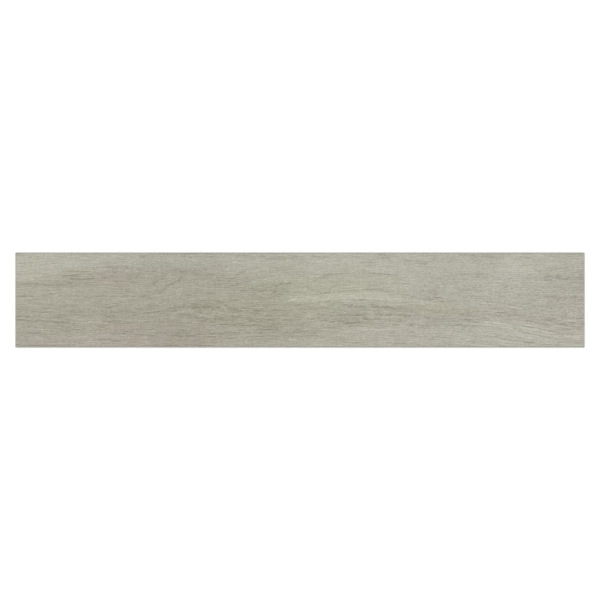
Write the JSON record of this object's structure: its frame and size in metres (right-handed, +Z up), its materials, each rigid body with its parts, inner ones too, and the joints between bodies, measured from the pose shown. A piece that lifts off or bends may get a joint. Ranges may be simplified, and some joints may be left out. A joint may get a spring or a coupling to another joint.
{
  "type": "wood look porcelain plank tile",
  "caption": "Long flat porcelain tile with a matte greige wood grain face, softly rounded edges and a honeycomb relief pressed into its unglazed back.",
  "frame": {"origin": "middle of the tile's underside, the plane of the ribs on its back", "axes": "+X along the tile and its grain, +Y across it, +Z up out of the glazed face"},
  "size_m": [0.9, 0.15, 0.009],
  "materials": {
    "glazed_porcelain": "matte"
  },
  "bodies": {
    "root": {"plank_tile": "glazed_porcelain"}
  },
  "joints": []
}
